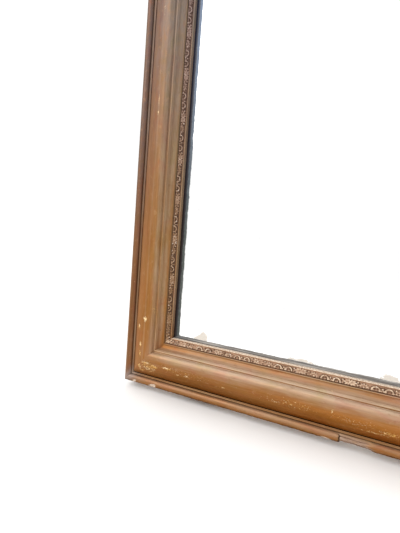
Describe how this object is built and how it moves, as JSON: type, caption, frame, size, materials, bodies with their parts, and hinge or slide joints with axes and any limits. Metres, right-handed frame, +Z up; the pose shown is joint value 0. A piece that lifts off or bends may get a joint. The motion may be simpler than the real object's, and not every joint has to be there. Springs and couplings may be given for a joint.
{
  "type": "floor mirror",
  "caption": "Tall leaning floor mirror in a wide aged-bronze moulded frame with a moulded ornament border, standing on a hinged rear easel strut with leather stay straps.",
  "frame": {"origin": "on the floor, at the middle of the footprint of the whole mirror with its strut open", "axes": "+Z up, the mirror faces -Y and leans back towards +Y, +X to the viewer's right"},
  "size_m": [0.78, 0.4344, 1.6955],
  "materials": {
    "bronze_moulding": "aged bronze paint over gesso on wood, satin, worn and chipped",
    "compo_ornament": "aged bronze paint on moulded compo, dark in the hollows",
    "mirror_glass": "old silvered plate with a dark, foxed margin",
    "backing_paint": "matt red-brown paint over the silver",
    "pine": "aged pine, sawn and planed, unpolished",
    "backboard_pine": "old dusty pine boards, darkened",
    "hardwood": "dark hardwood",
    "strut_beech": "oiled beech",
    "steel_screws": "dulled steel",
    "aged_brass": "tarnished brass",
    "strap_leather": "worn brown strap leather",
    "boot_rubber": "black rubber"
  },
  "bodies": {
    "frame": {"left_stile": "bronze_moulding", "right_stile": "bronze_moulding", "top_rail": "bronze_moulding", "bottom_rail": "bronze_moulding", "left_ornament": "compo_ornament", "right_ornament": "compo_ornament", "top_ornament": "compo_ornament", "bottom_ornament": "compo_ornament", "mitre_keys": "hardwood", "mirror_plate": "mirror_glass", "mirror_backing": "backing_paint", "glazing_blocks": "pine", "backboard_1": "backboard_pine", "backboard_2": "backboard_pine", "backboard_3": "backboard_pine", "backboard_sprigs": "steel_screws", "corner_plates": "pine", "corner_screws": "steel_screws", "upper_batten": "pine", "lower_batten": "pine", "batten_screws": "steel_screws", "frame_feet": "hardwood", "foot_screws": "steel_screws", "hinge_frame_leaves": "aged_brass", "hinge_pins": "aged_brass", "hinge_frame_screws": "aged_brass", "button_post": "pine", "button_screw": "aged_brass", "strap_frame_screws": "aged_brass", "stay_straps": "strap_leather"},
    "strut": {"strut_left_leg": "strut_beech", "strut_right_leg": "strut_beech", "strut_top_bar": "strut_beech", "strut_middle_bar": "strut_beech", "strut_low_bar": "strut_beech", "strut_dowels": "hardwood", "strut_boots": "boot_rubber", "hinge_strut_leaves": "aged_brass", "hinge_strut_screws": "aged_brass", "strap_strut_screws": "aged_brass"},
    "button": {"turn_button": "aged_brass"}
  },
  "joints": [
    {"name": "strut_fold", "type": "hinge", "parent": "frame", "child": "strut", "pos_m": [0, 0.01651, 1.17359], "axis": [1, 0, 0], "range_deg": [-16.5, 0], "deforming": ["stay_straps"]},
    {"name": "button_turn", "type": "hinge", "parent": "frame", "child": "button", "pos_m": [0, -0.06898, 0.3828], "axis": [0, 0.9903, -0.1392], "range_deg": [0, 90]}
  ]
}
